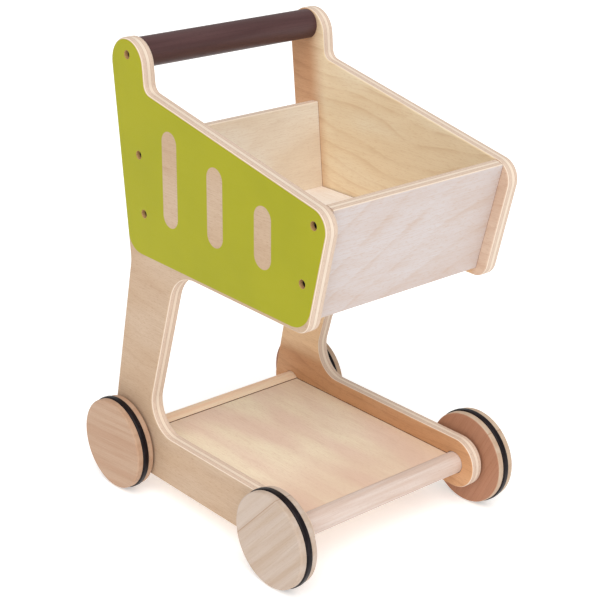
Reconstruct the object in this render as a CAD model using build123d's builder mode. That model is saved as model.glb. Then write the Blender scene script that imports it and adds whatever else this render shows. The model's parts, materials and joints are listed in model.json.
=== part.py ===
from build123d import *
import math
import os

# A child's push-along shopping cart of plywood and turned wood.
# +X is forward, +Y is the cart's left, +Z is up, and the floor is Z = 0 (millimetres).

# ---- driving dimensions ----
HEIGHT = 502.5
INSIDE_WIDTH = 221.0
PANEL_THICKNESS = 15.0
PANEL_OUTER_ROUND = 3.2
PANEL_INNER_ROUND = 2.0
BOARD_THICKNESS = 12.0
SHELF_THICKNESS = 9.0
WHEELBASE = 270.0
AXLE_HEIGHT = 52.0
SKID_HALF_HEIGHT = 28.4
SKID_NOSE_RADIUS = 28.3
HANDLE_RADIUS = 15.5
BAR_RADIUS = 12.0
AXLE_RADIUS = 3.0
WHEEL_THICKNESS = 21.0
WHEEL_GAP = 2.0
WOOD_RADIUS = 50.7
FLOOR_TOP = 309.0
TRAY_TOP = 59.0

# ---- places that follow from them ----
INNER_Y = INSIDE_WIDTH / 2
OUTER_Y = INNER_Y + PANEL_THICKNESS
WHEEL_Y = OUTER_Y + WHEEL_GAP
FRONT_X = WHEELBASE / 2
REAR_X = -WHEELBASE / 2
SKID_TOP = AXLE_HEIGHT + SKID_HALF_HEIGHT
SKID_BOTTOM = AXLE_HEIGHT - SKID_HALF_HEIGHT

# ---- the side panel's outline: corner X, corner Z, corner radius ----
PANEL_CORNERS = [
    (-83.6, 453.2, 10.0),  # where the handle post meets the sloping rim
    (193.1, 395.6, 21.0),  # front upper corner of the basket
    (163.2, 271.8, 18.0),  # front lower corner of the basket
    (-40.2, 274.8, 40.0),  # under the basket, in front of the leg
    (-99.5, SKID_TOP, 33.0),  # foot of the leg
    (FRONT_X + SKID_HALF_HEIGHT, SKID_TOP, SKID_NOSE_RADIUS),  # nose of the skid, upper
    (FRONT_X + SKID_HALF_HEIGHT, SKID_BOTTOM, SKID_NOSE_RADIUS),  # nose of the skid, lower
    (-172.0, SKID_BOTTOM, SKID_HALF_HEIGHT),  # heel
    (-119.1, 268.3, 40.0),  # waist
    (-143.4, HEIGHT, 27.0),  # top of the handle post, rear
    (-88.1, HEIGHT, 27.0),  # top of the handle post, front
]

# ---- boards: centre line through a point, with forward lean per millimetre of height ----
REAR_BOARD_POINT = (-91.0, 325.0)
REAR_BOARD_LEAN = -0.1
REAR_BOARD_TOP = 403.0
FRONT_BOARD_POINT = (156.5, 323.0)
FRONT_BOARD_LEAN = 0.25
FRONT_BOARD_TOP = 398.3
BOARD_BOTTOM = 281.5
BOARD_EDGE_ROUND = 2.0

# ---- bolts ----
HANDLE_CENTRE = (-112.0, 485.7)
REAR_BOLT_HEIGHTS = (325.0, 386.0)
FRONT_BOLT_HEIGHTS = (323.0, 383.0)
BOLT_SHANK_RADIUS = 2.5
BOLT_HEAD_RADIUS = 4.1
BOLT_HEAD_LENGTH = 5.0
BOLT_HEAD_DEPTH = 4.0
HEX_KEY = 4.0
HEX_DEPTH = 2.6
COUNTERBORE_RADIUS = 4.4
BOLT_CLEARANCE_RADIUS = 2.8
INSERT_RADIUS = 4.0
INSERT_BORE_RADIUS = 2.6
INSERT_LENGTH = 14.0
INSERT_HOLE_DEPTH = 16.0
FIT = 0.1

# ---- joinery ----
FLOOR_HOUSING = 4.0
FLOOR_SIDE_GAP = 0.8
TRAY_HOUSING = 3.0
TRAY_SLACK = 0.5
TONGUE_STEP = 0.8
SHOULDER_GAP = 0.2
SOCKET_DEPTH = 5.0
SOCKET_RADIUS = BAR_RADIUS + 0.6
BAR_GROOVE_DEPTH = 5.0
BAR_BORE_RADIUS = 3.5

# ---- wheels and axles ----
RING_WIDTH = 7.5
RING_SEAT_RADIUS = 48.0
RING_RADIUS = AXLE_HEIGHT
RING_ROUND = 2.2
WHEEL_EDGE_ROUND = 2.0
WHEEL_BORE_DEPTH = 14.0
BUSH_RADIUS = 5.0
BUSH_FLANGE_RADIUS = 8.0
BUSH_FLANGE = 0.7
RUNNING_FIT = 0.06
WASHER_THICKNESS = 1.0
WASHER_RADIUS = 7.0

os.makedirs("parts", exist_ok=True)


def board_centre(point, lean, height):
    """X of a leaning board's centre line at a height."""
    return point[0] + (height - point[1]) * lean


REAR_BOLTS = [
    (board_centre(REAR_BOARD_POINT, REAR_BOARD_LEAN, z), z) for z in REAR_BOLT_HEIGHTS
]
FRONT_BOLTS = [
    (board_centre(FRONT_BOARD_POINT, FRONT_BOARD_LEAN, z), z) for z in FRONT_BOLT_HEIGHTS
]
AXLES = [(REAR_X, AXLE_HEIGHT), (FRONT_X, AXLE_HEIGHT)]

# The floor's tongues reach into housings in both boards, and the tray's into grooves in the
# bars and panels. Each tongue lies a step below the top face, behind a shoulder.
HOUSING_SETBACK = BOARD_THICKNESS / 2 - FLOOR_HOUSING
FLOOR_REAR_X = board_centre(REAR_BOARD_POINT, REAR_BOARD_LEAN, FLOOR_TOP) + HOUSING_SETBACK
FLOOR_FRONT_X = board_centre(FRONT_BOARD_POINT, FRONT_BOARD_LEAN, FLOOR_TOP) - HOUSING_SETBACK
FLOOR_X = (FLOOR_REAR_X, FLOOR_FRONT_X)
REAR_SHOULDER = FLOOR_HOUSING + SHOULDER_GAP + (math.hypot(1, REAR_BOARD_LEAN) - 1) * BOARD_THICKNESS / 2
FRONT_SHOULDER = FLOOR_HOUSING + SHOULDER_GAP + (math.hypot(1, FRONT_BOARD_LEAN) - 1) * BOARD_THICKNESS / 2
FLOOR_FACE_X = (FLOOR_REAR_X + REAR_SHOULDER, FLOOR_FRONT_X - FRONT_SHOULDER)
FLOOR_HALF_Y = INNER_Y - FLOOR_SIDE_GAP
FLOOR_HOUSING_Z = (FLOOR_TOP - SHELF_THICKNESS, FLOOR_TOP - TONGUE_STEP)
TRAY_REACH = FRONT_X - BAR_RADIUS + BAR_GROOVE_DEPTH
TRAY_X = (-TRAY_REACH, TRAY_REACH)
TRAY_SHOULDER = math.sqrt(BAR_RADIUS**2 - (TRAY_TOP - AXLE_HEIGHT) ** 2) + SHOULDER_GAP
TRAY_FACE_X = (REAR_X + TRAY_SHOULDER, FRONT_X - TRAY_SHOULDER)
TRAY_GROOVE_Z = (TRAY_TOP - SHELF_THICKNESS, TRAY_TOP + TRAY_SLACK)


def save(builder, name):
    """Name a finished piece and write it to its own file."""
    builder.part.label = name
    export_step(builder.part, f"parts/{name}.step")


def cut_slab(x_range, y_half, z_range):
    """Cut a straight slab that runs across the cart, centred on Y = 0."""
    x0, x1 = x_range
    z0, z1 = z_range
    with Locations(((x0 + x1) / 2, 0, (z0 + z1) / 2)):
        Box(x1 - x0, 2 * y_half, z1 - z0, mode=Mode.SUBTRACT)


# ---- side panels: one sheet of plywood each, rounded all round ----
outer_face = Plane.XZ.offset(OUTER_Y)
panel_bolts = [HANDLE_CENTRE] + REAR_BOLTS + FRONT_BOLTS
with BuildPart() as side_panel_right:
    with BuildSketch(Plane.XZ.offset(INNER_Y)):
        with BuildLine():
            FilletPolyline(
                *[(x, z) for x, z, _ in PANEL_CORNERS],
                radius=[r for _, _, r in PANEL_CORNERS],
                close=True,
            )
        make_face()
    extrude(amount=PANEL_THICKNESS)
    fillet(side_panel_right.faces().sort_by(Axis.Y)[0].edges(), PANEL_OUTER_ROUND)
    fillet(side_panel_right.faces().sort_by(Axis.Y)[-1].edges(), PANEL_INNER_ROUND)
    with Locations(*[outer_face.location * Location(place) for place in panel_bolts]):
        CounterBoreHole(
            radius=BOLT_CLEARANCE_RADIUS,
            counter_bore_radius=COUNTERBORE_RADIUS,
            counter_bore_depth=BOLT_HEAD_DEPTH + BOLT_HEAD_LENGTH,
            depth=PANEL_THICKNESS,
        )
    with Locations(*[outer_face.location * Location(place) for place in AXLES]):
        Hole(radius=BUSH_RADIUS, depth=PANEL_THICKNESS)
    with BuildSketch(Plane.XZ.offset(INNER_Y)):
        with Locations(*AXLES):
            Circle(SOCKET_RADIUS)
    extrude(amount=SOCKET_DEPTH, mode=Mode.SUBTRACT)
    cut_slab(TRAY_X, INNER_Y + TRAY_HOUSING + FIT, TRAY_GROOVE_Z)
save(side_panel_right, "side_panel_right")

with BuildPart() as side_panel_left:
    mirror(side_panel_right.part, about=Plane.XZ)
save(side_panel_left, "side_panel_left")

# ---- handle: a turned bar between the posts, bored at both ends for inserts ----
with BuildPart() as handle:
    with BuildSketch(Plane.XZ):
        with Locations(HANDLE_CENTRE):
            Circle(HANDLE_RADIUS)
    extrude(amount=INNER_Y, both=True)
    with BuildSketch(Plane.XZ.offset(INNER_Y - INSERT_HOLE_DEPTH)):
        with Locations(HANDLE_CENTRE):
            Circle(INSERT_RADIUS)
    extrude(amount=INSERT_HOLE_DEPTH, mode=Mode.SUBTRACT)
    with BuildSketch(Plane.XZ.offset(-INNER_Y)):
        with Locations(HANDLE_CENTRE):
            Circle(INSERT_RADIUS)
    extrude(amount=INSERT_HOLE_DEPTH, mode=Mode.SUBTRACT)
save(handle, "handle")


def make_board(point, lean, top, bolts):
    """A leaning basket board with a housing for the floor and holes for four inserts."""
    upright = math.hypot(1, lean)
    middle_z = (top + BOARD_BOTTOM) / 2
    middle_x = board_centre(point, lean, middle_z)
    length = (top - BOARD_BOTTOM) * upright
    slope = (1 / upright, 0, -lean / upright)
    across = Plane(origin=(middle_x, 0, middle_z), x_dir=slope, z_dir=(0, -1, 0))
    with BuildPart() as board:
        with BuildSketch(across):
            RectangleRounded(BOARD_THICKNESS, length, BOARD_EDGE_ROUND)
        extrude(amount=INNER_Y, both=True)
        cut_slab(FLOOR_X, INNER_Y + FIT, FLOOR_HOUSING_Z)
        for start in (INNER_Y - INSERT_HOLE_DEPTH, -INNER_Y):
            with BuildSketch(Plane.XZ.offset(start)):
                with Locations(*bolts):
                    Circle(INSERT_RADIUS)
            extrude(amount=INSERT_HOLE_DEPTH, mode=Mode.SUBTRACT)
    return board


save(make_board(REAR_BOARD_POINT, REAR_BOARD_LEAN, REAR_BOARD_TOP, REAR_BOLTS), "rear_board")
save(make_board(FRONT_BOARD_POINT, FRONT_BOARD_LEAN, FRONT_BOARD_TOP, FRONT_BOLTS), "front_board")

# ---- basket floor, let into both boards, and lower tray, let into panels and bars ----
def make_shelf(top, tongue_x, tongue_half_y, face_x, face_half_y):
    """A flat shelf whose top face stops at a shoulder, with a thinner tongue beyond it."""
    with BuildPart() as shelf:
        with BuildSketch(Plane.XY.offset(top - SHELF_THICKNESS)):
            with Locations((sum(tongue_x) / 2, 0)):
                Rectangle(tongue_x[1] - tongue_x[0], 2 * tongue_half_y)
        extrude(amount=SHELF_THICKNESS - TONGUE_STEP)
        with BuildSketch(Plane.XY.offset(top - TONGUE_STEP)):
            with Locations((sum(face_x) / 2, 0)):
                Rectangle(face_x[1] - face_x[0], 2 * face_half_y)
        extrude(amount=TONGUE_STEP)
    return shelf


save(make_shelf(FLOOR_TOP, FLOOR_X, FLOOR_HALF_Y, FLOOR_FACE_X, FLOOR_HALF_Y), "basket_floor")
save(
    make_shelf(TRAY_TOP, TRAY_X, INNER_Y + TRAY_HOUSING, TRAY_FACE_X, INNER_Y - SHOULDER_GAP),
    "tray",
)


def make_bar(axle_x):
    """A round cross bar, grooved for the tray and bored for the axle."""
    with BuildPart() as bar:
        with BuildSketch(Plane.XZ):
            with Locations((axle_x, AXLE_HEIGHT)):
                Circle(BAR_RADIUS)
                Circle(BAR_BORE_RADIUS, mode=Mode.SUBTRACT)
        extrude(amount=INNER_Y + SOCKET_DEPTH, both=True)
        cut_slab(TRAY_X, INNER_Y + SOCKET_DEPTH + FIT, TRAY_GROOVE_Z)
    return bar


save(make_bar(REAR_X), "rear_bar")
save(make_bar(FRONT_X), "front_bar")


def make_axle(axle_x):
    """A steel rod from the blind bore of one wheel to that of the other."""
    with BuildPart() as axle:
        with BuildSketch(Plane.XZ):
            with Locations((axle_x, AXLE_HEIGHT)):
                Circle(AXLE_RADIUS)
        extrude(amount=WHEEL_Y + WHEEL_BORE_DEPTH, both=True)
    return axle


save(make_axle(REAR_X), "rear_axle")
save(make_axle(FRONT_X), "front_axle")

# ---- four flanged bushes in the panels ----
with BuildPart() as axle_bushes:
    with BuildSketch(Plane.XZ.offset(INNER_Y + SOCKET_DEPTH)):
        with Locations(*AXLES):
            Circle(BUSH_RADIUS)
    extrude(amount=PANEL_THICKNESS - SOCKET_DEPTH)
    with BuildSketch(Plane.XZ.offset(OUTER_Y)):
        with Locations(*AXLES):
            Circle(BUSH_FLANGE_RADIUS)
    extrude(amount=BUSH_FLANGE)
    with BuildSketch(Plane.XZ.offset(INNER_Y + SOCKET_DEPTH)):
        with Locations(*AXLES):
            Circle(AXLE_RADIUS + RUNNING_FIT)
    extrude(amount=PANEL_THICKNESS, mode=Mode.SUBTRACT)
    mirror(about=Plane.XZ)
save(axle_bushes, "axle_bushes")


def make_washers(axle_x):
    """Two steel washers, one against each wheel's inner face."""
    with BuildPart() as washers:
        with BuildSketch(Plane.XZ.offset(WHEEL_Y - WASHER_THICKNESS)):
            with Locations((axle_x, AXLE_HEIGHT)):
                Circle(WASHER_RADIUS)
                Circle(AXLE_RADIUS + RUNNING_FIT, mode=Mode.SUBTRACT)
        extrude(amount=WASHER_THICKNESS)
        mirror(about=Plane.XZ)
    return washers


save(make_washers(REAR_X), "rear_washers")
save(make_washers(FRONT_X), "front_washers")


def wheel_plane(axle_x, side):
    """Half-section plane of a wheel: local X runs outward along the axle, local Y is radius."""
    return Plane(origin=(axle_x, side * WHEEL_Y, AXLE_HEIGHT), x_dir=(0, side, 0), z_dir=(side, 0, 0))


def make_wheel(axle_x, side):
    """A turned wooden disc with a groove for its ring and a blind bore for the axle."""
    axis = Axis((axle_x, 0, AXLE_HEIGHT), (0, 1, 0))
    with BuildPart() as wheel:
        with BuildSketch(wheel_plane(axle_x, side)):
            with BuildLine():
                FilletPolyline(
                    (0, 0),
                    (0, WOOD_RADIUS),
                    (WHEEL_THICKNESS, WOOD_RADIUS),
                    (WHEEL_THICKNESS, 0),
                    radius=WHEEL_EDGE_ROUND,
                )
                Line((WHEEL_THICKNESS, 0), (0, 0))
            make_face()
            with Locations((WHEEL_THICKNESS / 2, (RING_SEAT_RADIUS + RING_RADIUS) / 2)):
                Rectangle(RING_WIDTH, RING_RADIUS - RING_SEAT_RADIUS, mode=Mode.SUBTRACT)
            with Locations((WHEEL_BORE_DEPTH / 2, AXLE_RADIUS / 2)):
                Rectangle(WHEEL_BORE_DEPTH, AXLE_RADIUS, mode=Mode.SUBTRACT)
        revolve(axis=axis)
    return wheel


def make_ring(axle_x, side):
    """A rubber ring, stretched into the wheel's groove and standing a little proud."""
    axis = Axis((axle_x, 0, AXLE_HEIGHT), (0, 1, 0))
    left = (WHEEL_THICKNESS - RING_WIDTH) / 2
    right = left + RING_WIDTH
    with BuildPart() as ring:
        with BuildSketch(wheel_plane(axle_x, side)):
            with BuildLine():
                FilletPolyline(
                    (left, RING_SEAT_RADIUS),
                    (left, RING_RADIUS),
                    (right, RING_RADIUS),
                    (right, RING_SEAT_RADIUS),
                    radius=RING_ROUND,
                )
                Line((right, RING_SEAT_RADIUS), (left, RING_SEAT_RADIUS))
            make_face()
        revolve(axis=axis)
    return ring


for axle_x, end in ((REAR_X, "rear"), (FRONT_X, "front")):
    for side, hand in ((-1, "right"), (1, "left")):
        save(make_wheel(axle_x, side), f"wheel_{end}_{hand}")
        save(make_ring(axle_x, side), f"rubber_ring_{end}_{hand}")


def make_bolts(places):
    """Socket-head bolts that pull both panels against a piece's ends."""
    head_start = OUTER_Y - BOLT_HEAD_DEPTH - BOLT_HEAD_LENGTH
    shank_start = INNER_Y - INSERT_LENGTH
    with BuildPart() as bolts:
        with BuildSketch(Plane.XZ.offset(shank_start)):
            with Locations(*places):
                Circle(BOLT_SHANK_RADIUS)
        extrude(amount=head_start - shank_start)
        with BuildSketch(Plane.XZ.offset(head_start)):
            with Locations(*places):
                Circle(BOLT_HEAD_RADIUS)
        extrude(amount=BOLT_HEAD_LENGTH)
        with BuildSketch(Plane.XZ.offset(OUTER_Y - BOLT_HEAD_DEPTH - HEX_DEPTH)):
            with Locations(*places):
                RegularPolygon(HEX_KEY / 2, 6, major_radius=False)
        extrude(amount=HEX_DEPTH, mode=Mode.SUBTRACT)
        mirror(about=Plane.XZ)
    return bolts


def make_inserts(places):
    """Threaded inserts let into a piece's ends, one for each bolt."""
    with BuildPart() as inserts:
        with BuildSketch(Plane.XZ.offset(INNER_Y - INSERT_LENGTH)):
            with Locations(*places):
                Circle(INSERT_RADIUS)
                Circle(INSERT_BORE_RADIUS, mode=Mode.SUBTRACT)
        extrude(amount=INSERT_LENGTH)
        mirror(about=Plane.XZ)
    return inserts


bolted = (("handle", [HANDLE_CENTRE]), ("rear_board", REAR_BOLTS), ("front_board", FRONT_BOLTS))
for piece, places in bolted:
    save(make_bolts(places), f"{piece}_bolts")
    save(make_inserts(places), f"{piece}_inserts")
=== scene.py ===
import bpy
import json
import math
from mathutils import Matrix, Vector

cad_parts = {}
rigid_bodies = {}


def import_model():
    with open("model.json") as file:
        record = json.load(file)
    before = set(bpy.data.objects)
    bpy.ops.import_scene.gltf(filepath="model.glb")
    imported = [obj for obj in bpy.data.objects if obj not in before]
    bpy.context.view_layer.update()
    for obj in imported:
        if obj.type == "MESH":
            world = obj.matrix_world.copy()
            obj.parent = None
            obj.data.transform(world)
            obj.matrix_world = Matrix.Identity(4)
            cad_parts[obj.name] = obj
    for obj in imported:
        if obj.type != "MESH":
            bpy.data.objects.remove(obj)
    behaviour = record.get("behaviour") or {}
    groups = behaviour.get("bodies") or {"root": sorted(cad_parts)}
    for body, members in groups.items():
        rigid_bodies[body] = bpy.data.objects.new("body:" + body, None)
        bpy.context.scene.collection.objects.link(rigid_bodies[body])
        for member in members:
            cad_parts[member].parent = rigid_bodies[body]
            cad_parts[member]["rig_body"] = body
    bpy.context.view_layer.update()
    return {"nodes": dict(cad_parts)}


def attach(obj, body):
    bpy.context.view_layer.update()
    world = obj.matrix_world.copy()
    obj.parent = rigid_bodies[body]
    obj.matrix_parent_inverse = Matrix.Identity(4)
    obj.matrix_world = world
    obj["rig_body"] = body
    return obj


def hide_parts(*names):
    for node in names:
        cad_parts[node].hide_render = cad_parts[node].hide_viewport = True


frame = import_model()


# ---- camera, floor and light ----
# The cart stands on a pale studio floor and is seen from its right front, a little above.
# A white sky and one broad lamp over the front right corner give soft, even light.
scene = bpy.context.scene
scene.view_settings.view_transform = "Standard"

EYE = Vector((1.16565142, -0.99594258, 0.84526469))
VIEW_RIGHT = Vector((0.64905202, 0.7607127, 0.00690356))
VIEW_UP = Vector((-0.29882647, 0.24659711, 0.9218962))
VIEW_BACK = Vector((0.69959575, -0.60042156, 0.38737545))
camera_data = bpy.data.cameras.new("studio_camera")
camera_data.sensor_width = 36
camera_data.lens = 94.31
camera_data.shift_x = 0.0031
camera_data.shift_y = 0.0374
camera_data.dof.use_dof = False
camera = bpy.data.objects.new("studio_camera", camera_data)
facing = Matrix((VIEW_RIGHT, VIEW_UP, VIEW_BACK)).transposed().to_4x4()
camera.matrix_world = Matrix.Translation(EYE) @ facing
scene.collection.objects.link(camera)
scene.camera = camera

SKY = 0.58
world = bpy.data.worlds.new("studio_sky")
world.use_nodes = True
world.node_tree.nodes["Background"].inputs["Color"].default_value = (1.0, 0.99, 0.98, 1)
world.node_tree.nodes["Background"].inputs["Strength"].default_value = SKY
scene.world = world

LAMP_TOWARDS = Vector((0.5, -0.42, 0.76))
lamp_data = bpy.data.lights.new("broad_lamp", "SUN")
lamp_data.energy = 1.95
lamp_data.angle = math.radians(55)
lamp_data.color = (1.0, 0.985, 0.97)
lamp = bpy.data.objects.new("broad_lamp", lamp_data)
lamp.rotation_euler = LAMP_TOWARDS.to_track_quat("Z", "Y").to_euler()
scene.collection.objects.link(lamp)


# ---- side panels ----
# Each is one sheet of 15 mm birch plywood, cut to the outline with a router and rounded over all
# round. The outer face of the basket and handle post is sprayed lime green through a stencil that
# leaves three upright windows bare; the leg and the skid under it are only oiled.
MILLIMETRES = 1000
INNER_FACE = 110.5
PANEL_THICKNESS = 15.0
BEVEL_SEGMENTS = 3
WELD_DISTANCE = 0.000002
SMOOTH_ANGLE = 38
PLY_BLUR = 0.06


def srgb(red, green, blue):
    """A colour on the usual 0 to 255 scale, as the linear values that shaders take."""
    steps = [part / 255 for part in (red, green, blue)]
    return tuple(s / 12.92 if s <= 0.04045 else ((s + 0.055) / 1.055) ** 2.4 for s in steps) + (1,)


class Signal:
    """A number that varies over a surface. Sums written with it become Math nodes."""

    def __init__(self, finish, socket):
        self.finish = finish
        self.socket = socket

    def reckon(self, operation, *terms):
        return self.finish.node("ShaderNodeMath", {"operation": operation}, dict(enumerate(terms)))

    def __add__(self, other):
        return self.reckon("ADD", self, other)

    def __sub__(self, other):
        return self.reckon("SUBTRACT", self, other)

    def __rsub__(self, other):
        return self.reckon("SUBTRACT", other, self)

    def __mul__(self, other):
        return self.reckon("MULTIPLY", self, other)

    def __truediv__(self, other):
        return self.reckon("DIVIDE", self, other)

    def __pow__(self, other):
        return self.reckon("POWER", self, other)

    def __abs__(self):
        return self.reckon("ABSOLUTE", self)

    __radd__ = __add__
    __rmul__ = __mul__

    def lowest(self, other):
        return self.reckon("MINIMUM", self, other)

    def highest(self, other):
        return self.reckon("MAXIMUM", self, other)

    def fraction(self):
        return self.reckon("FRACT", self)

    def rise(self, start, end):
        """0 before start, 1 past end, and a smooth step between them."""
        settings = {"interpolation_type": "SMOOTHSTEP"}
        return self.finish.node("ShaderNodeMapRange", settings, {0: self, 1: start, 2: end})


class Finish:
    """One procedural finish, built node by node on a Principled shader."""

    def __init__(self, name, roughness, specular=0.3):
        self.material = bpy.data.materials.new(name)
        self.material.use_nodes = True
        self.tree = self.material.node_tree
        self.shader = self.tree.nodes["Principled BSDF"]
        self.shader.inputs["Roughness"].default_value = roughness
        self.shader.inputs["Specular IOR Level"].default_value = specular

    def feed(self, socket, value):
        if isinstance(value, Signal):
            self.tree.links.new(value.socket, socket)
        else:
            socket.default_value = value

    def node(self, kind, settings, inputs, out=0):
        made = self.tree.nodes.new(kind)
        for name, value in settings.items():
            setattr(made, name, value)
        for key, value in inputs.items():
            self.feed(made.inputs[key], value)
        return Signal(self, made.outputs[out])

    def place(self):
        """X, Y and Z of the surface point on the piece, in millimetres."""
        spot = self.node("ShaderNodeTexCoord", {}, {}, "Object")
        spot = self.node("ShaderNodeVectorMath", {"operation": "SCALE"}, {0: spot, "Scale": MILLIMETRES})
        return [self.node("ShaderNodeSeparateXYZ", {}, {0: spot}, axis) for axis in "XYZ"]

    def noise(self, x, y, z, detail=1.0):
        spot = self.node("ShaderNodeCombineXYZ", {}, {0: x, 1: y, 2: z})
        return self.node("ShaderNodeTexNoise", {}, {"Vector": spot, "Scale": 1.0, "Detail": detail})

    def mix(self, under, over, amount):
        """One colour laid over another."""
        return self.node("ShaderNodeMix", {"data_type": "RGBA"}, {0: amount, 6: under, 7: over}, 2)

    def surface(self, colour, roughness, height, depth_mm):
        """Wires colour, roughness and a relief of the given depth into the shader."""
        self.feed(self.shader.inputs["Base Color"], colour)
        self.feed(self.shader.inputs["Roughness"], roughness)
        settings = {"Strength": 1.0, "Distance": depth_mm / MILLIMETRES, "Height": height}
        self.feed(self.shader.inputs["Normal"], self.node("ShaderNodeBump", {}, settings))


def veneer(finish, along, across, seed, tones, spacing, waver, arcs=0.3, sweep=0.0, arc_length=170):
    """Peeled birch: broad zones, soft growth arcs, fine streaks and short pores along the grain.
    tones are the pale, the warm and the line colour. It gives the colour and the raised grain."""
    pale, warm, line = tones
    field = finish.noise(along / arc_length, across / (arc_length * 0.42), seed)
    phase = ((across - sweep) / spacing + field * waver).fraction()
    rings = phase**4 * (1 - phase.rise(0.9, 1.0))
    zones = finish.noise(along / 150, across / 48, seed + 5).rise(0.36, 0.64)
    patches = finish.noise(along / 30, across / 9, seed + 7, 2).rise(0.35, 0.7)
    streaks = finish.noise(along / 30, across / 1.1, seed + 9, 3).rise(0.42, 0.72)
    pores = finish.noise(along / 5, across / 0.75, seed + 13).rise(0.56, 0.7)
    colour = finish.mix(pale, warm, zones)
    colour = finish.mix(colour, line, rings * (arcs * (0.5 + patches)))
    colour = finish.mix(colour, line, streaks * 0.2 + patches * 0.08)
    colour = finish.mix(colour, line, pores * 0.34)
    return colour, rings * 0.3 + streaks * 0.35 + pores * 0.35


def plies(finish, place, centre_distance, joints, tones):
    """The edge of a plywood sheet: long-grain and end-grain plies in turn, with dark glue lines.
    centre_distance runs from the middle of the sheet, and joints are where the plies meet."""
    long_grain, end_grain, glue = tones
    x, y, z = place
    wander = finish.noise(x / 22, y / 22, z / 22) * 0.3 - 0.15
    distance = centre_distance + wander
    inner, outer = joints
    past_inner = distance.rise(inner - PLY_BLUR, inner + PLY_BLUR)
    past_outer = distance.rise(outer - PLY_BLUR, outer + PLY_BLUR)
    end_ply = past_inner * (1 - past_outer)
    fleck = finish.noise(x / 2.6, centre_distance * 2.2, z / 2.6 + y / 2.6, 2).rise(0.5, 0.72)
    thread = finish.noise(x / 16, centre_distance * 1.3, z / 16 + y / 16, 2).rise(0.4, 0.7)
    colour = finish.mix(long_grain, end_grain, end_ply)
    colour = finish.mix(colour, glue, fleck * (0.08 + end_ply * 0.3))
    colour = finish.mix(colour, end_grain, thread * 0.3)
    seam = abs(distance - inner).lowest(abs(distance - outer))
    return finish.mix(colour, glue, (1 - seam.rise(0.08, 0.26)) * 0.5)


def pick(piece):
    """Makes one object the only selected one."""
    bpy.ops.object.select_all(action="DESELECT")
    bpy.context.view_layer.objects.active = piece
    piece.select_set(True)


def select_edges(piece, wanted):
    """In edit mode, selects just the edges for which wanted(start, end) is true."""
    bpy.ops.mesh.select_all(action="DESELECT")
    bpy.ops.object.mode_set(mode="OBJECT")
    spots = piece.data.vertices
    for edge in piece.data.edges:
        edge.select = wanted(*[spots[index].co * MILLIMETRES for index in edge.vertices])
    bpy.ops.object.mode_set(mode="EDIT")


def smooth(piece, degrees):
    """Smooth shading that keeps crisp arrises and flat faces flat."""
    pick(piece)
    bpy.ops.object.shade_smooth_by_angle(angle=math.radians(degrees))
    piece.modifiers.new("even", "WEIGHTED_NORMAL").keep_sharp = True
    bpy.ops.object.modifier_apply(modifier="even")


def show(piece, finish, node):
    """Gives a piece its finish and body, and lets it stand for its CAD node."""
    piece.data.materials.clear()
    piece.data.materials.append(finish.material)
    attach(piece, frame["nodes"][node]["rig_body"])
    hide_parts(node)


def refine(node, crisp=None, easing=0.4):
    """A merged copy of a CAD node. The arrises that crisp(start, end) picks out are eased."""
    piece = bpy.data.objects.new(node + "_finished", frame["nodes"][node].data.copy())
    scene.collection.objects.link(piece)
    pick(piece)
    bpy.ops.mesh.customdata_custom_splitnormals_clear()
    bpy.ops.object.mode_set(mode="EDIT")
    bpy.ops.mesh.select_all(action="SELECT")
    bpy.ops.mesh.remove_doubles(threshold=WELD_DISTANCE)
    bpy.ops.mesh.select_mode(type="EDGE")
    if crisp:
        select_edges(piece, crisp)
        bpy.ops.mesh.bevel(offset=easing / MILLIMETRES, segments=BEVEL_SEGMENTS, clamp_overlap=True)
    bpy.ops.object.mode_set(mode="OBJECT")
    smooth(piece, SMOOTH_ANGLE)
    return piece


PANEL_BOLTS = ((-112.0, 485.7), (-91.0, 325.0), (-97.1, 386.0), (156.5, 323.0), (171.5, 383.0))
HOLE_RADIUS = 4.4
# The tones of a face are its pale, warm and line colours. Those of an edge are its long-grain,
# end-grain and glue colours.
OUTSIDE = (srgb(198, 174, 150), srgb(193, 166, 139), srgb(158, 122, 95))
# The inside tones are painted light and shade: shade on the post, skid and front strip, light on the
# leg, bounce light in the basket.
INSIDE_SHADE = (srgb(207, 162, 124), srgb(198, 151, 112), srgb(168, 120, 83))
INSIDE_LEG_LIGHT = (srgb(248, 219, 181), srgb(238, 205, 165), srgb(206, 164, 124))
INSIDE_SKID_SHADE = (srgb(212, 166, 126), srgb(204, 154, 112), srgb(170, 120, 82))
FRONT_STRIP_SHADE = (srgb(216, 192, 172), srgb(208, 180, 158), srgb(184, 146, 118))
IN_BASKET_LIGHT = (srgb(242, 228, 199), srgb(238, 218, 184), srgb(215, 182, 143))
BIRCH_EDGE = (srgb(230, 214, 196), srgb(214, 192, 173), srgb(150, 112, 90))
PANEL_JOINTS = (2.0, 5.9)
HOLE_WALL = srgb(184, 143, 84)
LIME = srgb(160, 158, 0)
LIME_SHADE = srgb(155, 154, 0)


def near_mouth(start, end):
    """Whether an edge lies on the mouth of a bolt hole."""
    outside = INNER_FACE + PANEL_THICKNESS - 0.05
    if abs(start.y) < outside or abs(end.y) < outside:
        return False
    rims = [math.hypot(spot.x - x, spot.z - z) for spot in (start, end) for x, z in PANEL_BOLTS]
    close = [rim for rim in rims if rim < HOLE_RADIUS + 0.15]
    return len(close) == 2


panel_wood = Finish("lime_painted_plywood", 0.6, 0.22)
x, y, z = panel_wood.place()
depth = abs(y) - INNER_FACE
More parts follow.
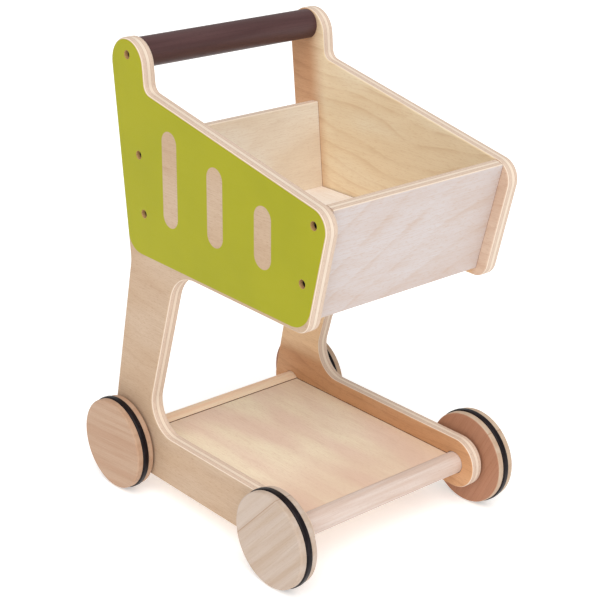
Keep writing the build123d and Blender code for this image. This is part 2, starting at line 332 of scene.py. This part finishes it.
# The inner face has its own tones on the leg, on the skid, in the basket, and in the strip ahead of
# the front board. They are lit and shaded copies of one veneer: painted bounce light in the basket,
# painted light on the leg, and painted shade on the post, the skid and the strip.
basket_light = (x + z * 0.1).rise(-66, -36) * z.rise(270, 300) * (1 - (x - z * 0.25).rise(66, 74))
inner = 1 - depth.rise(6, 9)
leg_light = z.rise(84, 110) * (1 - z.rise(262, 290))
skid_shade = 1 - z.rise(84, 100)
strip_shade = (x - z * 0.25).rise(74, 82) * z.rise(268, 272)
tones = [panel_wood.mix(a, b, leg_light) for a, b in zip(INSIDE_SHADE, INSIDE_LEG_LIGHT)]
tones = [panel_wood.mix(a, b, skid_shade) for a, b in zip(tones, INSIDE_SKID_SHADE)]
tones = [panel_wood.mix(a, b, strip_shade) for a, b in zip(tones, FRONT_STRIP_SHADE)]
tones = [panel_wood.mix(a, b, basket_light) for a, b in zip(tones, IN_BASKET_LIGHT)]
tones = [panel_wood.mix(a, b, inner) for a, b in zip(OUTSIDE, tones)]
bend = (x - 40) ** 2 * 0.0007
face, grain = veneer(panel_wood, x, z, y * 0.02 + 4.4, tones, 17, 3.5, 0.12 + inner * 0.36, bend)
edge = plies(panel_wood, (x, y, z), abs(depth - PANEL_THICKNESS / 2), PANEL_JOINTS, BIRCH_EDGE)
in_edge = depth.rise(0.45, 0.7) * (1 - depth.rise(14.2, 14.5))
wood = panel_wood.mix(face, edge, in_edge)
# The paint stops at a lower edge that falls a little to the front and at a round corner at each
# end of it. A corner is given by the distance outward, the height of its centre and its radius, and
# a window by its middle, half width, bottom and top.
LOWER_EDGE = 279.8
LOWER_EDGE_FALL = 0.013
LEG_REAR = 101
STENCIL_BLUR = 0.12
REAR_CORNER = (-101.5 - x - (z - 299) * 0.1038, 299, 19)
FRONT_CORNER = (x - 147.8 - (z - 296.5) * 0.2415, 296.5, 19.5)
WINDOWS = ((-45, 12, 322, 421.5), (27.2, 12.2, 321.5, 402.5), (99.5, 12.5, 320.5, 383))
painted = (z - LOWER_EDGE + (x + LEG_REAR) * LOWER_EDGE_FALL).rise(-0.15, 0.15)
for outward, height, radius in (REAR_CORNER, FRONT_CORNER):
    reach = (outward.highest(0) ** 2 + (height - z).highest(0) ** 2) ** 0.5
    bare = reach.rise(radius - STENCIL_BLUR, radius + STENCIL_BLUR) * outward.rise(0, 1)
    painted = painted * (1 - bare)
for middle, radius, bottom, top in WINDOWS:
    beyond = (abs(z - (bottom + top) / 2) - ((top - bottom) / 2 - radius)).highest(0)
    from_window = ((x - middle) ** 2 + beyond**2) ** 0.5
    painted = painted * from_window.rise(radius - STENCIL_BLUR, radius + STENCIL_BLUR)
for bolt_x, bolt_z in PANEL_BOLTS:
    from_bolt = ((x - bolt_x) ** 2 + (z - bolt_z) ** 2) ** 0.5
    painted = painted * from_bolt.rise(HOLE_RADIUS + 0.1, HOLE_RADIUS + 0.3)
    past_hole = from_bolt.rise(HOLE_RADIUS + 0.3, HOLE_RADIUS + 0.5)
    wood = panel_wood.mix(wood, HOLE_WALL, 0.85 - past_hole * 0.85)
painted = painted * depth.rise(14.6, 14.7)
flow = panel_wood.noise(x / 60, y, z / 60, 2)
lime = panel_wood.mix(LIME, LIME_SHADE, flow.rise(0.3, 0.7))
lime = panel_wood.mix(lime, LIME_SHADE, grain * 0.35)
orange_peel = panel_wood.noise(x / 1.6, y, z / 1.6, 1)
colour = panel_wood.mix(wood, lime, painted)
gloss = 0.6 + grain * 0.1 - painted * (0.2 - orange_peel * 0.08)
relief = painted * (0.5 + orange_peel * 0.06) + (1 - painted) * (1 - grain) * 0.25
panel_wood.surface(colour, gloss, relief, 0.12)
for hand in ("right", "left"):
    panel = refine(f"side_panel_{hand}", near_mouth)
    show(panel, panel_wood, f"side_panel_{hand}")


# ---- cross bars ----
# Two 24 mm dowels of pale hardwood, glued into sockets in both panels under the tray's ends. Each
# has a groove for the tray and hides the steel axle, which runs through it in a bore.
def solid_wood(finish, place, along, tones, seed, spacing):
    """Straight-grained solid wood: long streaks and fine pores, with faint growth lines."""
    pale, warm, line = tones
    x, y, z = place
    drift = finish.noise(x / 90, y / 90, z / 90 + seed)
    waves = (along[1] / spacing + drift * 1.6).fraction()
    lines = waves**2 * (1 - waves.rise(0.88, 1.0))
    broad = finish.noise(along[0] / 140, along[1] / 8, along[2] / 8 + seed, 2).rise(0.35, 0.65)
    fine = finish.noise(along[0] / 55, along[1] / 0.8, along[2] / 0.8 + seed, 2).rise(0.42, 0.72)
    pores = finish.noise(along[0] / 4, along[1] / 0.5, along[2] / 0.5 + seed).rise(0.58, 0.7)
    colour = finish.mix(pale, warm, broad)
    colour = finish.mix(colour, line, lines * 0.16)
    colour = finish.mix(colour, line, fine * 0.2)
    colour = finish.mix(colour, line, pores * 0.26)
    return colour, lines * 0.3 + fine * 0.35 + pores * 0.35


GRAIN_RELIEF = 0.03


def sand_solid(finish, colour, grain):
    """Sanded solid wood, a little rougher and lower where the grain is."""
    finish.surface(colour, 0.56 + grain * 0.12, 1 - grain, GRAIN_RELIEF)


def sand_veneer(finish, colour, grain):
    """Sanded plywood, whose tighter face takes the grain more evenly."""
    finish.surface(colour, 0.58 + grain * 0.1, 1 - grain, GRAIN_RELIEF)


BAR_TONES = {
    "rear_bar": (srgb(252, 234, 208), srgb(251, 220, 190), srgb(228, 180, 148)),
    "front_bar": (srgb(216, 201, 192), srgb(207, 186, 173), srgb(183, 149, 131)),
}
for seed, (node, tones) in enumerate(BAR_TONES.items()):
    bar_wood = Finish(node + "_wood", 0.6)
    x, y, z = bar_wood.place()
    colour, grain = solid_wood(bar_wood, (x, y, z), (y, x, z), tones, seed * 31, 5)
    sand_solid(bar_wood, colour, grain)
    show(refine(node), bar_wood, node)


# ---- lower tray ----
# A 9 mm plywood shelf with its grain running fore and aft. Its thinner tongue is glued into grooves
# in the panels and bars, and a hairline gap, darkened with painted shade, shows as a thin dark line
# all round where the shoulder stops.
SHELF_JOINTS = (0.9, 3.1)
# Painted shade for the thin lines where pieces meet.
JOINT_SHADE = srgb(132, 84, 54)
SHELF_HALF = 4.0
TRAY_MIDDLE = 54.5
TRAY_HALF_LENGTH = 125.0
TRAY_HALF_WIDTH = 110.3
TRAY_TONES = (srgb(245, 232, 206), srgb(237, 213, 194), srgb(209, 174, 150))


def shelf_colour(finish, place, middle, face, joint):
    """A shelf's faces, its ply edges and the painted shade along the joint round it."""
    height = place[2] - middle
    past_bottom = height.rise(-SHELF_HALF, 0.2 - SHELF_HALF)
    past_top = height.rise(SHELF_HALF - 0.2, SHELF_HALF)
    in_edge = past_bottom * (1 - past_top)
    edge = plies(finish, place, abs(height), SHELF_JOINTS, BIRCH_EDGE)
    return finish.mix(finish.mix(face, edge, in_edge), JOINT_SHADE, joint)


tray_wood = Finish("tray_plywood", 0.6)
x, y, z = tray_wood.place()
face, grain = veneer(tray_wood, x, y, 3.1, TRAY_TONES, 30, 2.2, 0.16, arc_length=260)
# Painted shade: the face darkens towards the front, against the lamp's light there.
face = tray_wood.mix(face, TRAY_TONES[2], x.rise(20, 110) * 0.5)
# Painted shade darkens a thin line all round the tray's edge.
to_joint = (TRAY_HALF_LENGTH - abs(x)).lowest(TRAY_HALF_WIDTH - abs(y))
joint = 1 - to_joint.rise(0.05, 0.5)
colour = shelf_colour(tray_wood, (x, y, z), TRAY_MIDDLE, face, joint)
sand_veneer(tray_wood, colour, grain)
show(refine("tray"), tray_wood, "tray")


# ---- basket floor ----
# The same 9 mm plywood, glued into housings in the front and rear boards. It stops just short of
# both side panels, and painted shade darkens the gap into a dark line along each side.
FLOOR_MIDDLE = 304.5
FLOOR_HALF_WIDTH = 109.7
FLOOR_TONES = (srgb(236, 230, 224), srgb(230, 217, 204), srgb(206, 180, 160))
floor_wood = Finish("basket_floor_plywood", 0.6)
x, y, z = floor_wood.place()
face, grain = veneer(floor_wood, x, y, 8.4, FLOOR_TONES, 30, 2.4, 0.16, arc_length=220)
# Painted shade along each side, over the real gap to the panels.
joint = 1 - (FLOOR_HALF_WIDTH - abs(y)).rise(0.1, 0.7)
colour = shelf_colour(floor_wood, (x, y, z), FLOOR_MIDDLE, face, joint)
sand_veneer(floor_wood, colour, grain)
show(refine("basket_floor"), floor_wood, "basket_floor")


# ---- basket boards ----
# Two 12 mm plywood boards close the basket's ends, the rear one leaning back a little and the front
# one leaning forward. Their grain runs across the cart, and they are bolted between the panels.
BOARD_JOINTS = (1.5, 4.6)
REAR_LEAN = -0.1
FRONT_LEAN = 0.25
REAR_TONES = (srgb(233, 225, 211), srgb(225, 210, 189), srgb(202, 176, 152))
FRONT_TONES = (srgb(206, 198, 197), srgb(202, 189, 184), srgb(190, 156, 128))
# A point in the middle of each board's thickness, its lean, how bold its arcs are, and its tones.
BOARDS = {
    "rear_board": (-91.0, 325.0, REAR_LEAN, 0.1, REAR_TONES),
    "front_board": (156.5, 323.0, FRONT_LEAN, 0.3, FRONT_TONES),
}
for node, (board_x, board_z, lean, arcs, tones) in BOARDS.items():
    board_wood = Finish(node + "_plywood", 0.6)
    x, y, z = board_wood.place()
    sweep = y * 0.3 - (y - 110) ** 2 * 0.0012
    distance = abs(x - board_x - (z - board_z) * lean) / math.hypot(1, lean)
    face, grain = veneer(board_wood, y, z, x * 0.01 + 1.7, tones, 36, 0.9, arcs, sweep)
    edge = plies(board_wood, (x, y, z), distance, BOARD_JOINTS, BIRCH_EDGE)
    colour = board_wood.mix(edge, face, distance.rise(5.5, 5.8))
    # Painted shade darkens a thin line on the board where it meets each panel.
    from_panel = INNER_FACE - abs(y)
    joint = from_panel.rise(0.0, 0.04) * (1 - from_panel.rise(0.1, 0.7))
    colour = board_wood.mix(colour, JOINT_SHADE, joint)
    sand_veneer(board_wood, colour, grain)
    show(refine(node), board_wood, node)


# ---- push handle ----
# A 31 mm turned bar of hardwood, stained dark brown and satin lacquered, clamped between the tops of
# the posts by a bolt at each end. Its grain runs across the cart and shows as fine streaks.
HANDLE_TONES = (srgb(86, 59, 59), srgb(78, 51, 51), srgb(53, 32, 31))
handle_wood = Finish("stained_handle_wood", 0.42)
x, y, z = handle_wood.place()
colour, grain = solid_wood(handle_wood, (x, y, z), (y, x, z), HANDLE_TONES, 7, 6)
handle_wood.surface(colour, 0.4 + grain * 0.12, 1 - grain, 0.04)
show(refine("handle"), handle_wood, "handle")


# ---- bolts and inserts ----
# Socket-head bolts of blackened steel sit sunk in counterbores in the panels. Each screws into a
# turned brass insert in the end of a board or of the handle.
def metal(name, dark, bright, roughness, scale):
    """Worked metal: a wandering tone, fine tool marks and a slightly uneven polish."""
    finish = Finish(name, roughness)
    finish.shader.inputs["Metallic"].default_value = 1.0
    x, y, z = finish.place()
    cloud = finish.noise(x / scale, y / scale, z / scale, 3)
    marks = finish.noise(x / 0.4, y / 0.08, z / 0.4, 1)
    colour = finish.mix(dark, bright, (cloud * 0.7 + marks * 0.3).rise(0.3, 0.7))
    finish.surface(colour, roughness + cloud * 0.15 - 0.05, marks, 0.01)
    return finish


black_steel = metal("blackened_steel", srgb(38, 36, 35), srgb(70, 66, 62), 0.38, 3)
brass = metal("turned_brass", srgb(170, 134, 70), srgb(212, 178, 106), 0.3, 2)
HEAD_DEPTH = 4.0
HEAD_FACE = INNER_FACE + PANEL_THICKNESS - HEAD_DEPTH
HEAD_RIM = (3.9, 4.2)


def head_rim(start, end):
    """Whether an edge is on the outer rim of a bolt head."""
    if min(abs(start.y), abs(end.y)) < HEAD_FACE - 0.05:
        return False
    rims = [math.hypot(spot.x - x, spot.z - z) for spot in (start, end) for x, z in PANEL_BOLTS]
    return len([rim for rim in rims if HEAD_RIM[0] < rim < HEAD_RIM[1]]) == 2


for clamped in ("handle", "rear_board", "front_board"):
    show(refine(f"{clamped}_bolts", head_rim, 0.5), black_steel, f"{clamped}_bolts")
    inserts = frame["nodes"][f"{clamped}_inserts"]
    inserts.data.materials.clear()
    inserts.data.materials.append(brass.material)


# ---- axles, bushes and washers ----
# A 6 mm drawn steel rod joins each pair of wheels and turns in flanged nylon bushes in the panels.
# A thin steel washer lies against the inner face of each wheel.
bright_steel = metal("drawn_steel", srgb(150, 150, 150), srgb(200, 200, 198), 0.3, 4)
nylon = Finish("natural_nylon", 0.5)
x, y, z = nylon.place()
cloud = nylon.noise(x / 5, y / 5, z / 5, 2)
colour = nylon.mix(srgb(226, 223, 212), srgb(214, 209, 195), cloud)
nylon.surface(colour, 0.45 + cloud * 0.1, cloud, 0.03)
HARDWARE = {
    "rear_axle": bright_steel,
    "front_axle": bright_steel,
    "rear_washers": bright_steel,
    "front_washers": bright_steel,
    "axle_bushes": nylon,
}
for node, finish in HARDWARE.items():
    hardware = frame["nodes"][node]
    hardware.data.materials.clear()
    hardware.data.materials.append(finish.material)


# ---- wheels ----
# Each wheel is a 21 mm disc turned from a slab of pale hardwood, so its grain runs straight across
# the face. Some slabs are glued up from two staves. A groove round the rim holds the rubber ring,
# and a blind bore in the inner face takes the axle.
AXLE_X = 0.135
AXLE_Z = 0.052
WHEEL_MIDDLE_Y = 0.138
WHEEL_HALF = 0.0105
WHEEL_RADIUS = 0.0507
RING_HALF = 0.00375
RING_SEAT = 0.048
AXLE_RADIUS = 0.003
BORE_DEPTH = 0.014
ROUND_STEPS = 144
RIM_ROUND = 0.002
GROOVE_ROUND = 0.0003
CLOSE = 0.01
INNER_SIDE = -128
# The backs of the wheels, toward the panels, are given a darker, redder brown as painted shade.
WHEEL_BACK_SHADE = srgb(168, 116, 88)
WHEEL_BACK_SHADE_GRAIN = srgb(132, 82, 56)
BACK_SHADE_FADE = (127.7, 128.4)

wheel_centre = Vector((AXLE_X, -WHEEL_MIDDLE_Y, AXLE_Z))


def across_axle(spot):
    """A point's distance from the front axle's line, in millimetres."""
    return math.hypot(spot.x - AXLE_X * MILLIMETRES, spot.z - AXLE_Z * MILLIMETRES)


def rim_edges(half_width):
    """A test for the edges round the rim at half_width to either side of the wheel's middle."""

    def wanted(start, end):
        if abs(start.y - end.y) > CLOSE:
            return False
        if min(across_axle(start), across_axle(end)) < WHEEL_RADIUS * MILLIMETRES - 0.05:
            return False
        from_middle = abs(start.y + WHEEL_MIDDLE_Y * MILLIMETRES)
        return abs(from_middle - half_width * MILLIMETRES) < CLOSE

    return wanted


def select_faces(piece, wanted):
    """In edit mode, selects just the faces for which wanted(centre, normal) is true."""
    bpy.ops.mesh.select_mode(type="FACE")
    bpy.ops.mesh.select_all(action="DESELECT")
    bpy.ops.object.mode_set(mode="OBJECT")
    for polygon in piece.data.polygons:
        polygon.select = wanted(polygon.center * MILLIMETRES, polygon.normal)
    bpy.ops.object.mode_set(mode="EDIT")


bpy.ops.object.select_all(action="DESELECT")
bpy.ops.mesh.primitive_cylinder_add(
    vertices=ROUND_STEPS,
    radius=WHEEL_RADIUS,
    depth=2 * WHEEL_HALF,
    location=wheel_centre,
    rotation=(math.pi / 2, 0, 0),
)
wheel = bpy.context.object
bpy.ops.object.transform_apply(location=True, rotation=True, scale=True)
bpy.ops.object.mode_set(mode="EDIT")
for side in (-1, 1):
    bpy.ops.mesh.select_all(action="SELECT")
    edge_of_groove = wheel_centre + Vector((0, side * RING_HALF, 0))
    bpy.ops.mesh.bisect(plane_co=edge_of_groove, plane_no=(0, 1, 0))
groove_low = -(WHEEL_MIDDLE_Y + RING_HALF) * MILLIMETRES
groove_high = -(WHEEL_MIDDLE_Y - RING_HALF) * MILLIMETRES
select_faces(wheel, lambda centre, normal: abs(normal.y) < 0.5 and groove_low < centre.y < groove_high)
shrink = RING_SEAT / WHEEL_RADIUS
bpy.ops.mesh.extrude_region_move()
bpy.ops.transform.resize(value=(shrink, 1, shrink), center_override=wheel_centre)
select_faces(wheel, lambda centre, normal: normal.y > 0.9 and centre.y > INNER_SIDE)
bpy.ops.mesh.inset(thickness=WHEEL_RADIUS - AXLE_RADIUS)
bpy.ops.mesh.extrude_region_move(TRANSFORM_OT_translate={"value": (0, -BORE_DEPTH, 0)})
bpy.ops.mesh.select_mode(type="EDGE")
select_edges(wheel, rim_edges(WHEEL_HALF))
bpy.ops.mesh.bevel(offset=RIM_ROUND, segments=6)
select_edges(wheel, rim_edges(RING_HALF))
bpy.ops.mesh.bevel(offset=GROOVE_ROUND, segments=2)
bpy.ops.mesh.select_all(action="SELECT")
bpy.ops.mesh.normals_make_consistent(inside=False)
bpy.ops.object.mode_set(mode="OBJECT")
smooth(wheel, SMOOTH_ANGLE)

# Where each copy of the front right wheel goes, its grain's angle in degrees, how far from the centre
# its glue joint runs, or None, and its tones.
TO_REAR = Matrix.Translation((-2 * AXLE_X, 0, 0))
HALF_TURN = Matrix.Rotation(math.pi, 4, "Z")
TO_FRONT_LEFT = TO_REAR.inverted() @ HALF_TURN
COOL_WHEEL = (srgb(196, 180, 167), srgb(188, 168, 150), srgb(162, 132, 110))
WARM_WHEEL = (srgb(188, 158, 134), srgb(181, 147, 122), srgb(152, 113, 85))
PALE_WHEEL = (srgb(193, 170, 148), srgb(186, 158, 133), srgb(158, 124, 96))
SANDY_WHEEL = (srgb(195, 174, 152), srgb(188, 161, 137), srgb(160, 127, 100))
WHEELS = {
    "front_right": (Matrix.Identity(4), 45.8, 26.8, COOL_WHEEL),
    "rear_right": (TO_REAR, 6, None, WARM_WHEEL),
    "rear_left": (HALF_TURN, 18, None, PALE_WHEEL),
    "front_left": (TO_FRONT_LEFT, 62, -9, SANDY_WHEEL),
}


def wheel_finish(name, centre_x, angle, joint, tones):
    """Solid wood with its grain at an angle across the face, a glue joint if it has one, and painted
    shade on its back.
    """
    finish = Finish(name, 0.6)
    x, y, z = finish.place()
    turn = math.radians(angle)
    right = x - centre_x
    up = z - AXLE_Z * MILLIMETRES
    along = right * math.cos(turn) + up * math.sin(turn)
    across = up * math.cos(turn) - right * math.sin(turn)
    if joint is None:
        stave = along * 0
    else:
        stave = across.rise(joint - 0.1, joint + 0.1)
    colour, grain = solid_wood(finish, (x, y, z), (along, across + stave * 43, y), tones, angle, 11)
    if joint is not None:
        colour = finish.mix(colour, tones[0], stave * 0.4)
        colour = finish.mix(colour, tones[2], (1 - abs(across - joint).rise(0.15, 0.7)) * 0.8)
    # Painted shade: the back of the wheel is darker and redder.
    back_shade = finish.mix(WHEEL_BACK_SHADE, WHEEL_BACK_SHADE_GRAIN, grain * 0.6)
    colour = finish.mix(colour, back_shade, (1 - abs(y).rise(*BACK_SHADE_FADE)) * 0.9)
    sand_solid(finish, colour, grain)
    return finish


def copy_of(piece, name, move):
    """A copy with its own mesh, moved within the mesh so that its object stays at the origin."""
    copy = bpy.data.objects.new(name, piece.data.copy())
    copy.data.transform(move)
    scene.collection.objects.link(copy)
    return copy


for place_name, (move, angle, joint, tones) in WHEELS.items():
    turned = copy_of(wheel, f"wheel_{place_name}_turned", move)
    centre_x = (move @ wheel_centre).x * MILLIMETRES
    wood = wheel_finish(f"wheel_wood_{place_name}", centre_x, angle, joint, tones)
    show(turned, wood, f"wheel_{place_name}")
bpy.data.objects.remove(wheel)


# ---- rubber rings ----
# A black rubber ring is stretched into each wheel's groove and stands a little proud, with rounded
# shoulders, so that the cart rolls quietly and grips the floor.
RING_RADIUS = 0.052
RING_ROUND = 0.0022
bpy.ops.object.select_all(action="DESELECT")
ring_height = RING_RADIUS - RING_SEAT
ring_middle_z = AXLE_Z + RING_SEAT + ring_height / 2
bpy.ops.mesh.primitive_plane_add(
    size=1,
    location=(AXLE_X, -WHEEL_MIDDLE_Y, ring_middle_z),
    rotation=(0, math.pi / 2, 0),
)
ring = bpy.context.object
ring.scale = (ring_height, 2 * RING_HALF, 1)
bpy.ops.object.transform_apply(location=True, rotation=True, scale=True)
bpy.ops.object.mode_set(mode="EDIT")
bpy.ops.mesh.select_mode(type="VERT")
bpy.ops.mesh.select_all(action="DESELECT")
bpy.ops.object.mode_set(mode="OBJECT")
for vertex in ring.data.vertices:
    vertex.select = vertex.co.z > ring_middle_z
bpy.ops.object.mode_set(mode="EDIT")
bpy.ops.mesh.bevel(offset=RING_ROUND, segments=8, affect="VERTICES")
bpy.ops.mesh.select_all(action="SELECT")
bpy.ops.mesh.delete(type="ONLY_FACE")
bpy.ops.mesh.select_all(action="SELECT")
bpy.ops.mesh.spin(
    steps=ROUND_STEPS,
    angle=2 * math.pi,
    center=wheel_centre,
    axis=(0, 1, 0),
    use_auto_merge=True,
)
bpy.ops.mesh.select_all(action="SELECT")
bpy.ops.mesh.remove_doubles(threshold=WELD_DISTANCE)
bpy.ops.mesh.normals_make_consistent(inside=False)
bpy.ops.object.mode_set(mode="OBJECT")
smooth(ring, 50)

rubber = Finish("black_rubber", 0.45, 0.15)
x, y, z = rubber.place()
dust = rubber.noise(x / 9, y / 3, z / 9, 4)
bloom = rubber.noise(x / 0.7, y / 0.7, z / 0.7, 2)
colour = rubber.mix(srgb(20, 14, 17), srgb(34, 27, 30), dust.rise(0.4, 0.7))
rubber.surface(colour, 0.3 + dust * 0.12, bloom, 0.01)
for place_name, (move, *_) in WHEELS.items():
    tyre = copy_of(ring, f"rubber_ring_{place_name}_fitted", move)
    show(tyre, rubber, f"rubber_ring_{place_name}")
bpy.data.objects.remove(ring)


# ---- studio floor ----
# A plain pale sweep that the wheels stand on.
bpy.ops.object.select_all(action="DESELECT")
bpy.ops.mesh.primitive_plane_add(size=80, location=(0, 0, 0))
studio_floor = bpy.context.object
studio_floor.name = "studio_floor"
pale_floor = bpy.data.materials.new("pale_floor")
pale_floor.use_nodes = True
pale_inputs = pale_floor.node_tree.nodes["Principled BSDF"].inputs
pale_inputs["Base Color"].default_value = (0.9, 0.9, 0.9, 1)
pale_inputs["Roughness"].default_value = 0.9
pale_inputs["Emission Color"].default_value = (1, 1, 1, 1)
pale_inputs["Emission Strength"].default_value = 0.36
studio_floor.data.materials.append(pale_floor)
